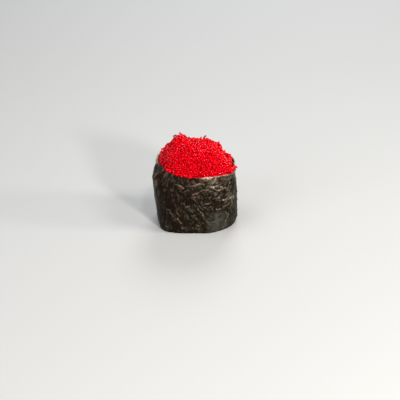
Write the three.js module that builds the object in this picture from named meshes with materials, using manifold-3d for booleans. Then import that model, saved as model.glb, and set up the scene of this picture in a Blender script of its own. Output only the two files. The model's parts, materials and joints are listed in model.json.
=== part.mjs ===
// Gunkan sushi: an oval block of pressed rice inside an upright band of nori, heaped with small red fish roe.
// Millimetres, +Z up. +X runs along the length and -Y is the front. The origin is the bottom centre of the whole.
import * as THREE from "three";
import Module from "manifold-3d";
import { ConvexHull } from "three/addons/math/ConvexHull.js";
import { mergeVertices } from "three/addons/utils/BufferGeometryUtils.js";

const { degToRad, lerp, seededRandom, smoothstep } = THREE.MathUtils;
const TURN = 2 * Math.PI;

// Driving dimensions of the band.
const HALF_LENGTH = 20.1;
const HALF_WIDTH = 16.8;
const RIGHT_POWER = 2.7; // of the oval: 2 is an ellipse, more is boxier
const LEFT_POWER = 3.6;
const NORI_HEIGHT = 31.5;
const NORI_THICKNESS = 0.5;
const LAYER_GAP = 0.15;
const AXIS_AT_FLOOR = 1.2; // the whole leans to the left on its way up
const AXIS_LEAN = -0.06;

// The strip is wound counter-clockwise from its hidden inner end at the back to its free end at the front left.
const COLUMNS_PER_TURN = 58;
const STRIP_COLUMNS = 73;
const STRIP_ROWS = 12;
const FREE_END = degToRad(227);
const STRIP_SWEEP = (STRIP_COLUMNS / COLUMNS_PER_TURN) * TURN;
const LAP_RAMP = degToRad(24);

// The band flares a little at the front left, and above that its top is pinched in over the roe.
const FLARE = 1.3;
const FLARE_FROM = 10;
const FLARE_AT = degToRad(205);
const FLARE_SPREAD = degToRad(28);
const PINCH = 4.4;
const PINCH_FROM = 26.5;
const PINCH_AT = degToRad(204);
const PINCH_SPREAD = degToRad(30);
// Its foot is drawn in at the front right.
const TUCK = 1.9;
const TUCK_BELOW = 14;
const TUCK_AT = degToRad(322);
const TUCK_SPREAD = degToRad(25);
// The rim dips where the band is pinched and rises beside the free end of the strip.
const RIM_DIP = 1.2;
const RIM_DIP_AT = degToRad(188);
const RIM_RISE = 0.8;
const RIM_RISE_AT = degToRad(226);
const RIM_SPREAD = degToRad(18);
const RIM_WAVE = 0.2;

// Rice.
const RICE_TOP = 21.5;
const RICE_CLEARANCE = 0.5;
const RICE_HOLLOW = 0.7; // from the plate up to the core that the lowest grains are set in
const RICE_SEGMENTS = 40;
const GRAIN_LENGTH = 6.6;
const GRAIN_THICKNESS = 3.0;
const GRAIN_RINGS = 6;

// Roe.
const ROE_CLEARANCE = 0.6;
const LEFT_CLEARANCE = 1.2;
const LEFT_SPREAD = degToRad(40);
const ROE_GAP = 0.35;
const ROE_RIM_POINTS = 60;
const ROE_SIDE_POINTS = 40;
const EGG_DIAMETER = 1.05;
const EGG_SPACING = 1.12;
const EGG_TRIES = 40000;
const EGG_PEAK = 0.24;
const EGG_VALLEY = 0.3;
const DOME_HEIGHT = 12.2;
const DOME_POWER = 2.4;
const DOME_SLOPE = 0.62; // less makes the sides of the dome steeper
const EDGE_DROP = 0.3;
const STEEP_SLOPE = 0.42;
const STEEP_AT = degToRad(188);
const STEEP_SPREAD = degToRad(45);
// Each lump raises or lowers the dome round a point: x, y, height and the reach along x and y.
const LUMPS = [
  { x: -8.2, y: 2.5, height: 3.3, reachX: 3.5, reachY: 6.5 },
  { x: -15.0, y: 2.0, height: 0.7, reachX: 3.0, reachY: 5.5 },
  { x: 1.2, y: 3.0, height: -0.2, reachX: 2.2, reachY: 5.0 },
  { x: 5.2, y: 2.5, height: 0.6, reachX: 2.4, reachY: 4.5 },
  { x: 10.8, y: 3.0, height: -0.7, reachX: 3.4, reachY: 6.0 },
  { x: 15.6, y: 3.0, height: -2.8, reachX: 1.9, reachY: 6.5 },
  { x: 18.2, y: 0.0, height: 1.0, reachX: 1.5, reachY: 2.6 },
  { x: -7.5, y: -9.5, height: -0.9, reachX: 3.0, reachY: 2.4 },
];
// Single eggs that sit proud of the heap's crest: x and y.
const CREST_EGGS = [
  [-13.4, 3.0], [-10.6, 4.0], [-8.1, 4.4], [-5.0, 4.6], [-3.2, 4.6],
  [-1.9, 4.9], [0.8, 5.0], [4.8, 4.8], [8.6, 4.6], [12.0, 4.0],
];
// Rows of eggs that spill from the heap across the rim: from and to as x, y and height above the band, and how many.
const SPILL = [
  { from: [17.2, -3.0, 1.7], to: [21.2, -4.2, 0.9], count: 7 },
  { from: [17.2, -3.9, 1.5], to: [21.2, -4.9, 0.6], count: 7 },
  { from: [17.4, -3.3, 2.3], to: [20.6, -4.4, 1.4], count: 6 },
  { from: [-2.4, -14.4, 1.5], to: [-2.5, -17.0, 1.1], count: 5 },
];

const wasm = await Module();
wasm.setup();

function solidFrom(geometry) {
  geometry.deleteAttribute("normal");
  geometry.deleteAttribute("uv");
  const merged = mergeVertices(geometry, 1e-5);
  return new wasm.Manifold(
    new wasm.Mesh({
      numProp: 3,
      vertProperties: merged.attributes.position.array,
      triVerts: new Uint32Array(merged.index.array),
    }),
  );
}

function geometryFrom(solid) {
  const mesh = solid.getMesh();
  return new THREE.BufferGeometry()
    .setAttribute("position", new THREE.BufferAttribute(mesh.vertProperties, 3))
    .setIndex(new THREE.BufferAttribute(mesh.triVerts, 1));
}

function geometryOf(points, triangles) {
  return new THREE.BufferGeometry().setFromPoints(points).setIndex(triangles.flat());
}

const bell = (value) => Math.exp(-value * value);

// The shortest way round from one angle to another, from -half a turn to half a turn.
function angleBetween(from, to) {
  return THREE.MathUtils.euclideanModulo(to - from + Math.PI, TURN) - Math.PI;
}

// 1 at one angle round the band, fading out to both sides.
const roundAbout = (middle, spread, angle) => bell(angleBetween(middle, angle) / spread);

function ovalRadius(angle) {
  const power = lerp(RIGHT_POWER, LEFT_POWER, smoothstep(-Math.cos(angle), -0.3, 0.8));
  const across = Math.abs(Math.cos(angle) / HALF_LENGTH) ** power;
  const along = Math.abs(Math.sin(angle) / HALF_WIDTH) ** power;
  return (across + along) ** (-1 / power);
}

// Soft pleats that run up the sheet, level crinkles at the front right and a slanting crease at the front.
function sheetRelief(angle, z) {
  const height = z / NORI_HEIGHT;
  const pleats = 0.2 * Math.sin(9 * angle + 1.7 * Math.sin(z / 5.2) + 0.6) * (0.35 + 0.65 * height);
  const level = 0.17 * Math.sin(z / 1.1 + 2.1 * Math.sin(3 * angle + 0.5));
  const levelPlace = roundAbout(degToRad(312), degToRad(38), angle) * smoothstep(height, 0.35, 0.7);
  const slant = 0.15 * Math.sin(5 * angle - z / 3.1 + 1.1);
  const foot = -0.7 * bell(z / 1.8); // the sheet turns in a little where it meets the plate
  return pleats + level * levelPlace + slant + foot;
}

// Outer face of the sheet's inner layer.
function wallRadius(angle, z) {
  const flare = FLARE * smoothstep(z, FLARE_FROM, NORI_HEIGHT) * roundAbout(FLARE_AT, FLARE_SPREAD, angle);
  const climb = Math.max(0, (z - PINCH_FROM) / (NORI_HEIGHT - PINCH_FROM));
  const pinch = PINCH * climb ** 1.5 * roundAbout(PINCH_AT, PINCH_SPREAD, angle);
  const tuck = TUCK * (1 - smoothstep(z, 0, TUCK_BELOW)) * roundAbout(TUCK_AT, TUCK_SPREAD, angle);
  return ovalRadius(angle) + sheetRelief(angle, z) + flare - pinch - tuck;
}

const axisX = (z) => AXIS_AT_FLOOR + AXIS_LEAN * z;

function polar(angle, radius, z) {
  return new THREE.Vector3(axisX(z) + radius * Math.cos(angle), radius * Math.sin(angle), z);
}

function rimHeight(angle) {
  const dip = RIM_DIP * roundAbout(RIM_DIP_AT, RIM_SPREAD, angle);
  const rise = RIM_RISE * roundAbout(RIM_RISE_AT, RIM_SPREAD, angle);
  return NORI_HEIGHT + RIM_WAVE * Math.sin(2 * angle + 0.8) + rise - dip;
}

function noriWrap() {
  const step = STRIP_SWEEP / STRIP_COLUMNS;
  const points = [];
  for (const face of [0, -NORI_THICKNESS])
    for (let row = 0; row <= STRIP_ROWS; row++)
      for (let column = 0; column <= STRIP_COLUMNS; column++) {
        const wound = column * step;
        const angle = FREE_END - STRIP_SWEEP + wound;
        const lift = (NORI_THICKNESS + LAYER_GAP) * smoothstep(wound, TURN - LAP_RAMP, TURN - step);
        const z = rimHeight(angle) * (1 - (1 - row / STRIP_ROWS) ** 1.3); // rows draw together towards the rim
        points.push(polar(angle, wallRadius(angle, z) + lift + face, z));
      }
  const wide = STRIP_COLUMNS + 1;
  const inside = wide * (STRIP_ROWS + 1);
  const at = (column, row) => row * wide + column;
  const triangles = [];
  const quad = (a, b, c, d) => triangles.push([a, b, c], [a, c, d]);
  for (let row = 0; row < STRIP_ROWS; row++)
    for (let column = 0; column < STRIP_COLUMNS; column++) {
      const [a, b] = [at(column, row), at(column + 1, row)];
      const [c, d] = [at(column + 1, row + 1), at(column, row + 1)];
      triangles.push([a, b, c], [a, c, d]);
      triangles.push([c + inside, b + inside, a + inside], [d + inside, c + inside, a + inside]);
    }
  for (let column = 0; column < STRIP_COLUMNS; column++) {
    const [foot, footNext] = [at(column, 0), at(column + 1, 0)];
    const [rim, rimNext] = [at(column, STRIP_ROWS), at(column + 1, STRIP_ROWS)];
    quad(foot, foot + inside, footNext + inside, footNext);
    quad(rim, rimNext, rimNext + inside, rim + inside);
  }
  for (let row = 0; row < STRIP_ROWS; row++) {
    const [start, startUp] = [at(0, row), at(0, row + 1)];
    const [end, endUp] = [at(STRIP_COLUMNS, row), at(STRIP_COLUMNS, row + 1)];
    quad(start, startUp, startUp + inside, start + inside);
    quad(end, end + inside, endUp + inside, endUp);
  }
  return geometryOf(points, triangles);
}

// A closed block with the band's oval section: the profile gives shares of the inner radius against height.
function ovalBlock(profile, segments, clearance) {
  const lathe = new THREE.LatheGeometry(
    profile.map(([share, z]) => new THREE.Vector2(share, z)),
    segments,
  ).rotateX(Math.PI / 2);
  const place = lathe.attributes.position;
  for (let i = 0; i < place.count; i++) {
    const [share, angle] = [Math.hypot(place.getX(i), place.getY(i)), Math.atan2(place.getY(i), place.getX(i))];
    const z = place.getZ(i);
    const point = polar(angle, share * (wallRadius(angle, z) - NORI_THICKNESS - clearance), z);
    place.setXYZ(i, point.x, point.y, point.z);
  }
  return solidFrom(lathe);
}

function riceGrain(x, y, turn) {
  const grain = new THREE.SphereGeometry(0.5, 6, 4).scale(GRAIN_THICKNESS, GRAIN_LENGTH, GRAIN_THICKNESS);
  return solidFrom(grain.rotateZ(turn).translate(x, y, 0.34 * GRAIN_THICKNESS));
}

// Pressed rice. Its underside is the grains themselves, flattened where they stand on the plate.
function riceBed() {
  const side = [2.2, 7, 12, 17, RICE_TOP - 1.2].map((z) => [1, z]);
  const profile = [[0, RICE_HOLLOW], [0.9, RICE_HOLLOW], ...side, [0.94, RICE_TOP], [0, RICE_TOP]];
  const core = ovalBlock(profile, RICE_SEGMENTS, RICE_CLEARANCE);
  const grains = [riceGrain(AXIS_AT_FLOOR, 0, 0.4)];
  for (let ring = 1; ring < GRAIN_RINGS; ring++) {
    const share = ring / (GRAIN_RINGS - 1);
    const count = Math.round(ring * 2.8);
    for (let i = 0; i < count; i++) {
      const angle = ((i + 0.3 * seededRandom()) / count + 0.13 * ring) * TURN;
      const reach = share * (wallRadius(angle, 0) - NORI_THICKNESS - GRAIN_LENGTH / 2);
      const place = polar(angle, reach * (0.95 + 0.05 * seededRandom()), 0);
      grains.push(riceGrain(place.x, place.y, Math.PI * seededRandom()));
    }
  }
  const plate = solidFrom(new THREE.BoxGeometry(80, 80, 10).translate(0, 0, -5));
  return geometryFrom(wasm.Manifold.union([core, ...grains]).subtract(plate));
}

// The radius of the heap at a height, inside the band. At the left it stands a little further in.
function heapRadius(angle, z) {
  const further = LEFT_CLEARANCE * smoothstep(z, PINCH_FROM, NORI_HEIGHT) * roundAbout(Math.PI, LEFT_SPREAD, angle);
  return wallRadius(angle, z) - NORI_THICKNESS - ROE_CLEARANCE - further;
}

// A point of the heap's top, from its angle down from the top and round. The dome is steeper at the left.
function heapPoint(fromTop, angle) {
  const rim = rimHeight(angle) - EDGE_DROP;
  const share = Math.sin(fromTop) ** (2 / DOME_POWER);
  const slope = lerp(DOME_SLOPE, STEEP_SLOPE, roundAbout(STEEP_AT, STEEP_SPREAD, angle));
  const point = polar(angle, share * heapRadius(angle, rim), rim);
  const lumps = LUMPS.map((lump) =>
    lump.height * bell(((point.x - lump.x) / lump.reachX) ** 2) * bell((point.y - lump.y) / lump.reachY));
  point.z += (NORI_HEIGHT + DOME_HEIGHT - rim) * Math.cos(fromTop) ** (2 * slope);
  point.z += (1 - share ** 8) * lumps.reduce((sum, lump) => sum + lump, 0);
  return point;
}

function heapNormal(fromTop, angle) {
  const step = 0.02;
  const down = heapPoint(fromTop, angle).sub(heapPoint(Math.max(0, fromTop - step), angle));
  const round = heapPoint(fromTop, angle + step).sub(heapPoint(fromTop, angle - step));
  return down.cross(round).normalize();
}

// Places for the eggs, at random but never closer than the spacing.
function scatterEggs() {
  const eggs = [];
  for (let i = 0; i < EGG_TRIES; i++) {
    const fromTop = Math.acos(seededRandom());
    const angle = TURN * seededRandom();
    const point = heapPoint(fromTop, angle);
    const aboveRim = point.z > rimHeight(angle) - EDGE_DROP + EGG_DIAMETER / 2;
    if (aboveRim && eggs.every((egg) => egg.point.distanceToSquared(point) > EGG_SPACING ** 2))
      eggs.push({ fromTop, angle, point });
  }
  return eggs;
}

// The roe: every egg of the surface is a raised point amid lower ones. The eggs are joined up as their own
// directions' hull on a sphere, each triangle gets a low point, and the edges between eggs are turned.
function roeHeap() {
  const points = [];
  const spots = [];
  const add = (fromTop, angle, point) => {
    const spot = new THREE.Vector3().setFromSphericalCoords(1, fromTop, angle);
    spot.set(spot.z, spot.x, spot.y);
    spot.index = points.push(point) - 1;
    spots.push(spot);
  };
  const eggs = scatterEggs();
  for (const { fromTop, angle, point } of eggs)
    add(fromTop, angle, point.addScaledVector(heapNormal(fromTop, angle), EGG_PEAK));
  // Rings of the rim, side and underside: angle from the top on the sphere, share of the radius, height, number.
  const floor = RICE_TOP + ROE_GAP;
  const rings = [
    [1.63, 1, NORI_HEIGHT, ROE_RIM_POINTS],
    [1.72, 1, NORI_HEIGHT - 2.4, ROE_SIDE_POINTS],
    [2.0, 1, lerp(floor, NORI_HEIGHT, 0.4), ROE_SIDE_POINTS],
    [2.3, 0.985, floor, ROE_SIDE_POINTS],
    [2.8, 0.5, floor, 12],
    [3.1, 0.1, floor, 3],
  ];
  for (const [fromTop, share, height, count] of rings)
    for (let i = 0; i < count; i++) {
      const angle = ((i + 0.5 + 0.2 * seededRandom()) / count) * TURN;
      const z = height === NORI_HEIGHT ? rimHeight(angle) - EDGE_DROP : height;
      add(fromTop, angle, polar(angle, share * heapRadius(angle, z), z));
    }
  const isEgg = (index) => index < eggs.length;
  const valleys = new Map();
  const faces = new ConvexHull().setFromPoints(spots).faces;
  const cornersOf = (face) => [0, 1, 2].map((i) => face.getEdge(i).head().point.index);
  for (const face of faces) {
    const corners = cornersOf(face);
    if (!corners.every(isEgg)) continue;
    const [a, b, c] = corners.map((i) => points[i]);
    const normal = b.clone().sub(a).cross(c.clone().sub(a)).normalize();
    const middle = new THREE.Vector3().add(a).add(b).add(c).divideScalar(3);
    valleys.set(face, points.push(middle.addScaledVector(normal, -EGG_PEAK - EGG_VALLEY)) - 1);
  }
  const triangles = [];
  for (const face of faces) {
    if (!valleys.has(face)) {
      triangles.push(cornersOf(face));
      continue;
    }
    for (let i = 0; i < 3; i++) {
      const edge = face.getEdge(i);
      const [from, to] = [edge.tail().point.index, edge.head().point.index];
      const [low, lowBeyond] = [valleys.get(face), valleys.get(edge.twin.face)];
      triangles.push(lowBeyond === undefined ? [from, to, low] : [from, lowBeyond, low]);
    }
  }
  const heap = solidFrom(geometryOf(points, triangles));
  return geometryFrom(wasm.Manifold.union([heap, ...looseEggs(eggs)]));
}

// Single eggs, fused on: those of the crest stand on an egg of the heap, and the others spill over the rim.
function looseEggs(eggs) {
  const ball = (place) => {
    const egg = new THREE.IcosahedronGeometry(EGG_DIAMETER / 2, 0).rotateX(TURN * seededRandom());
    return solidFrom(egg.rotateZ(TURN * seededRandom()).translate(place.x, place.y, place.z));
  };
  const spilled = SPILL.flatMap(({ from, to, count }) =>
    Array.from({ length: count }, (_, i) => {
      const place = new THREE.Vector3(...from).lerp(new THREE.Vector3(...to), i / (count - 1));
      return ball(place.setZ(place.z + NORI_HEIGHT));
    }));
  const crest = CREST_EGGS.map(([x, y]) => {
    const away = ({ point }) => Math.hypot(point.x - x, point.y - y);
    const under = eggs.reduce((nearest, egg) => (away(egg) < away(nearest) ? egg : nearest));
    return ball(under.point.clone().add(new THREE.Vector3(0.1, 0.1, 0.15).multiplyScalar(EGG_DIAMETER)));
  });
  return [...spilled, ...crest];
}

const MATERIALS = {
  nori: new THREE.MeshStandardMaterial({ color: 0x1d1a12, roughness: 0.45, metalness: 0 }),
  rice: new THREE.MeshStandardMaterial({ color: 0xe9e5d8, roughness: 0.5, metalness: 0 }),
  roe: new THREE.MeshStandardMaterial({ color: 0xd60614, roughness: 0.22, metalness: 0 }),
};

function named(name, geometry, material) {
  const mesh = new THREE.Mesh(geometry, material);
  mesh.name = name;
  return mesh;
}

seededRandom(7);
const gunkan = new THREE.Group().add(
  named("nori_wrap", noriWrap(), MATERIALS.nori),
  named("rice_bed", riceBed(), MATERIALS.rice),
  named("roe_heap", roeHeap(), MATERIALS.roe),
);
const bounds = new THREE.Box3().setFromObject(gunkan, true);
const centre = bounds.getCenter(new THREE.Vector3());
gunkan.position.set(-centre.x, -centre.y, -bounds.min.z);

export default gunkan;
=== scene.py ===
"""Gunkan sushi: a strip of nori wound round pressed rice and heaped with small red roe.

Lengths in the functions are millimetres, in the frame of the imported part: +X along the oval, -Y to the front
and +Z up. Angles go round from +X, so the middle of the front is at 270 degrees.
"""

import json
import math

import bmesh
import bpy
import numpy as np
from bpy.props import FloatProperty, FloatVectorProperty, IntProperty, PointerProperty
from mathutils import Euler, Matrix, Vector, noise


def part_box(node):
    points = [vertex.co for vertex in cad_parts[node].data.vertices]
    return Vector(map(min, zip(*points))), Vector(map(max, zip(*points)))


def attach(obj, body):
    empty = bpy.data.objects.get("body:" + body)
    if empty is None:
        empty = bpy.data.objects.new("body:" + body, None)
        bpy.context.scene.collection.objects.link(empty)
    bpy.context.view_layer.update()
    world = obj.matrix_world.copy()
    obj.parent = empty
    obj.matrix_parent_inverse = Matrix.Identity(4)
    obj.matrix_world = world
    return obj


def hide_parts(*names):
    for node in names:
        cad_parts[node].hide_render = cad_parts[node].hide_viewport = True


bl_info = {
    "name": "Gunkan sushi",
    "version": (1, 0, 0),
    "blender": (4, 5, 0),
    "location": "3D View > Sidebar > Sushi",
    "description": "Builds a gunkan sushi from its nori band, its rice and its heap of roe",
    "category": "Add Mesh",
}

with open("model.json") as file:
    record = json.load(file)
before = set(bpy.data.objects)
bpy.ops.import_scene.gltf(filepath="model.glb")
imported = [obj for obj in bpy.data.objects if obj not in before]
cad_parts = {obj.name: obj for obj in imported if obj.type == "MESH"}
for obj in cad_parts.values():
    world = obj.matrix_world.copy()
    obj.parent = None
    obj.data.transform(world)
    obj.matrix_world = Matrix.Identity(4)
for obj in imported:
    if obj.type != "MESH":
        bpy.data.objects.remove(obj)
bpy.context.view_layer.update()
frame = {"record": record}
MM = 0.001
TURN = 2 * math.pi

# The band's plan and lean, as in the solids. Its axis leans from the point that the part rests on, which is
# AXIS_AT_FLOOR to the right of the heap's own origin.
AXIS_AT_FLOOR, AXIS_LEAN = 1.2, -0.06
REST = [place / MM for place in frame["record"]["mounts"][0]["pos_m"]]
HEAP_ORIGIN = (REST[0] - AXIS_AT_FLOOR, REST[1])
RIGHT_POWER, LEFT_POWER = 2.7, 3.6
# Where the rim is higher or lower than the strip is wide: an angle in degrees, its spread and how much.
RIM_RISES = ((228, 18, 0.8), (203, 15, 0.8), (172, 14, -0.5), (336, 12, -0.7))
# The strip winds on past a whole turn, to one of the solid's columns.
COLUMNS_PER_TURN, COLUMNS_WOUND = 58, 73
STRIP_SWEEP = TURN * COLUMNS_WOUND / COLUMNS_PER_TURN
FREE_END = math.radians(227)
# The lap: the ramp up to the second layer, how far out that lies, and the stretch where shared crinkles end.
LAP_RAMP, LAP_LIFT, LAP_FADE = math.radians(24), 0.46, math.radians(16)
# How high the strip begins, and the radius that its crinkles are laid out at.
STRIP_FOOT, MEAN_RADIUS = 0.05, 18.5

# The heap, and its lumps and dents: x, y, height, and how far each reaches along x and y.
DOME_POWER, DOME_SLOPE, STEEP_SLOPE = 2.4, 0.62, 0.42
EDGE_DROP = 0.3
LUMPS = (
    (-8.2, 2.5, 3.3, 3.5, 6.5),
    (-15.0, 2.0, -0.1, 3.0, 5.5),
    (1.2, 3.0, -0.2, 2.2, 5.0),
    (5.2, 2.5, 0.4, 2.4, 4.5),
    (10.8, 3.0, -0.7, 3.4, 6.0),
    (15.6, 3.0, -2.8, 1.9, 6.5),
    (18.0, 0.5, 1.5, 1.6, 3.0),
    (-9.2, -3.0, -0.7, 1.6, 2.6),
    (-7.6, -7.5, -0.9, 1.6, 2.6),
    (-5.8, -12.0, -0.8, 1.6, 2.2),
    (14.6, 7.0, -3.5, 1.5, 6.2),
    (12.4, 3.0, 0.8, 1.0, 6.0),
    (-15.5, 2.0, -0.9, 3.0, 6.0),
)
# Angles down from the top between which the heap's formula has a slope.
NEAR_TOP, NEAR_EDGE = 0.001, 1.57
# The core: how deep it lies and how high its bumps are, how far inside the heap's side and under the rim its
# own side begins, and how far above the rice it ends.
CORE_DEPTH, CORE_BUMP, CORE_INSET, CORE_DROP, CORE_GAP = 2.4, 0.4, 0.3, 1.2, 0.35

EGG_PLACE_SEED, EGG_LOOK_SEED, GRAIN_SEED = 5, 8, 3
# The packed layers of eggs: how deep under the heap's top they begin and how many places are tried.
LAYERS = ((1.25, 50000), (1.80, 40000))
LAYER_DEPTH = 0.25
# How near two eggs' middles may be, in eggs: in the layers, in a hollow, on others and along the crest. The
# last is how near a spilled egg has to be to another.
PACKED, NESTLED, PERCHED, STANDING, TOUCHING = 0.86, 0.93, 0.90, 0.88, 0.98
# How deep under the heap's top an egg's way out begins, and how far along it an egg may come to rest: in a
# hollow, or on top of others.
SEAT, HOLLOW_LIMIT, PERCH_LIMIT = 1.4, 0.95, 1.55
HOLLOWS_COMPARED = 5
# Single eggs that stand up along the crest: x and y, from which each strays a little. Each comes to rest on
# the others from CREST_SEAT up.
CREST_EGGS = (
    (-13.4, 3.0), (-11.0, 4.0), (-10.2, 4.0), (-7.9, 4.4), (-5.0, 4.6), (-3.2, 4.6), (-1.9, 4.9),
    (0.8, 5.0), (4.1, 4.8), (4.7, 4.8), (8.6, 4.6), (12.0, 4.0), (14.0, 3.0),
)
CREST_STRAY, CREST_SEAT, CREST_STEPS = 0.3, 32, 16
# Eggs along the rim: from an angle to another, how far inside and above the edge, and how many are tried.
RIM_EGGS = (
    (225, 266, 0.1, 0.35, 420),
    (211, 225, 0.5, 0.2, 110),
    (331, 350, 0.0, 0.35, 160),
    (138, 190, 1.0, -0.9, 420),
    (215, 535, 0.95, -1.2, 1950),
    (175, 215, 1.6, -1.2, 250),
)
# Eggs that spill over the band: a line, how far from it and how many are tried.
SPILLS = (
    ((16.2, -3.4, 31.6), (18.8, -4.8, 31.3), 0.9, 200),
    ((18.2, -4.1, 31.6), (19.9, -4.8, 31.4), 0.8, 260),
    ((20.2, -4.7, 31.7), (20.5, -4.8, 31.4), 0.4, 300),
    ((-2.4, -15.2, 32.4), (-2.5, -16.5, 32.1), 0.5, 90),
    ((-3.3, -16.8, 31.9), (-1.9, -17.0, 31.5), 0.25, 40),
)
# An egg's tone goes from 0, deep red, to 1, and is below 0 on the shaded crest.
SHADED_TONE = -0.5
# The bead of juice: where it begins, how far round it runs, and how far it lies inside and below the edge.
JUICE_START, JUICE_SWEEP, JUICE_INSET, JUICE_DROP = math.radians(282), math.radians(44), 0.45, 0.05
# The rice: how high its block begins, how far the block and the grains stay inside the band's face, and the
# turn from one grain to the next.
RICE_FOOT, RICE_INSET, GRAIN_INSET, GRAIN_TURN = 0.9, 1.1, 2.2, 2.39996

# The main creases of the front: how far round from its middle, height, length, heading in degrees
# and strength, which is negative for a groove.
CREASES = (
    (-8.5, 27.5, 2.5, -15, 0.9), (-6.5, 26.5, 2.0, -40, 0.9), (-12.0, 25.5, 3.0, -55, 0.5),
    (-11.0, 29.5, 3.5, -15, 0.5), (-3.5, 27.0, 2.5, -15, 0.6), (0.0, 27.5, 3.5, 15, 1.1),
    (3.5, 28.0, 2.5, -5, 0.6), (-0.5, 22.5, 2.5, 15, 1.1), (2.0, 23.0, 2.0, 5, 0.5),
    (4.5, 24.5, 3.5, 5, 0.6), (7.5, 24.0, 2.5, -25, 0.6), (0.5, 20.5, 3.5, -15, 0.7),
    (-6.0, 16.5, 2.0, -75, 0.7), (-4.5, 15.5, 1.0, 10, 0.9), (9.5, 26.0, 2.5, 10, 1.2),
    (12.0, 26.5, 2.5, 15, 1.2), (14.0, 25.0, 1.5, -10, 1.0), (10.0, 29.0, 2.0, 35, 0.7),
    (12.5, 28.0, 3.0, -5, 0.6), (16.0, 29.0, 2.5, -15, 0.6), (17.5, 26.5, 2.5, 80, 0.8),
    (16.5, 24.0, 2.0, 60, 0.8), (16.0, 18.0, 4.0, 5, 1.1), (15.0, 14.5, 3.5, 25, 1.1),
    (19.0, 17.5, 2.0, 65, 0.8), (11.0, 13.5, 2.0, 0, 1.0), (24.0, 6.0, 3.5, 70, 0.8),
    (15.0, 11.0, 2.5, -80, 0.6), (15.5, 7.0, 5.5, 75, 0.7), (3.0, 10.5, 5.0, -60, 0.6),
    (3.5, 12.0, 5.5, -50, -0.7), (2.0, 8.5, 5.5, -50, -0.7), (0.0, 12.5, 3.0, -40, 0.4),
    (-0.5, 11.0, 1.0, 0, 0.8), (0.0, 5.0, 2.0, -40, 0.8), (-9.0, 7.5, 3.0, -65, 1.1),
    (-9.5, 12.0, 3.5, -75, 0.6), (-13.5, 13.0, 1.5, -40, 0.6), (-12.5, 11.5, 1.0, -60, 0.8),
    (-15.0, 3.5, 1.5, -10, 0.7), (-8.0, 3.5, 1.0, -60, 0.8), (-5.0, 9.5, 1.5, -60, 0.7),
    (6.5, 6.5, 2.0, -30, 0.6), (9.0, 6.5, 2.0, 5, 0.6), (14.5, 2.0, 1.0, 30, 0.7),
    (-4.0, 6.0, 1.0, -45, 0.7), (-15.0, 17.0, 5.0, 30, 0.3), (10.0, 22.0, 1.5, 45, 0.5),
    (13.0, 21.0, 1.5, 35, 0.5), (11.0, 24.0, 5.0, 0, 0.5), (8.5, 21.5, 4.0, -15, -0.6),
)
CREASE_WIDTH, CREASE_DEPTH = 0.36, 0.28
FRONT_DEGREES, MM_PER_DEGREE = 270, 0.32
# The fine folds: their zone of the band, depth, heading in degrees, spacing and seed.
FOLDS = (
    ("upper", 0.25, 12, 1.6, 11.0),
    ("upper", 0.18, 20, 1.0, 13.0),
    ("lower", 0.23, -49, 1.8, 23.0),
    ("lower", 0.18, -58, 1.05, 29.0),
    ("left", 0.24, 88, 1.5, 37.0),
    ("right", 0.25, 76, 1.6, 41.0),
    ("right", 0.16, 85, 1.0, 43.0),
    ("rest", 0.26, 35, 1.8, 47.0),
    ("rest", 0.18, -30, 1.1, 59.0),
    ("other rest", 0.26, -65, 1.9, 53.0),
    ("other rest", 0.18, 60, 1.1, 61.0),
)
# How many spacings long a fold is, the noise that it ends at, and from a ridge's seed to a groove's.
FOLD_LENGTH, FOLD_END, GROOVE_SEED = 3.6, 0.22, 50.5
# Painted light on the sheet, paler and glossier, and painted shade where the amount is negative: an angle in
# degrees, its spread, how much, and the heights over which it comes and goes.
PAINTED_LIGHT_PLACES = (
    (304, 13, 0.10, None, (9, 13)),
    (312, 30, 0.08, (16, 22), None),
    (294, 13, 0.16, (21, 27), None),
    (334, 12, -0.14, (18, 21), (26, 29)),
)
# Where a highlight is painted along the sheet's upper edge, less of it where the amount is negative: an angle
# in degrees, its spread and how much.
EDGE_HIGHLIGHTS = ((291, 9, 0.75), (314, 14, 0.2), (155, 24, 1.1), (222, 42, -0.5), (4, 10, 0.5))

# The lamps: name, size, power, place, the height that they aim at and colour, in metres and watts.
LAMPS = (
    ("key", 0.20, 2.2, (0.42, -0.20, 0.50), 0.02, (1.0, 0.98, 0.95)),
    ("glint", 0.08, 1.6, (0.12, -0.42, 0.60), 0.03, (1.0, 0.98, 0.96)),
    ("top", 0.35, 1.5, (-0.22, -0.02, 0.60), 0.03, (1.0, 0.98, 0.96)),
    ("side", 0.12, 2.6, (0.62, -0.10, 0.26), 0.02, (1.0, 0.95, 0.87)),
    ("strip", 0.09, 4.7, (0.30, -0.56, 0.29), 0.02, (1.0, 0.95, 0.87)),
    ("back", 0.4, 4.4, (0.1, 0.6, 0.5), 0.03, (0.95, 0.98, 1.0)),
    ("fill", 0.6, 3.5, (-0.5, -0.5, 0.35), 0.02, (0.95, 0.98, 1.0)),
)
SENSOR_WIDTH = 36
FLOOR_REACH = 3
# A Mix node's colour sockets go by number, because those for numbers have the same names.
MIX_FIRST, MIX_SECOND, MIX_COLOUR = 6, 7, 2


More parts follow.
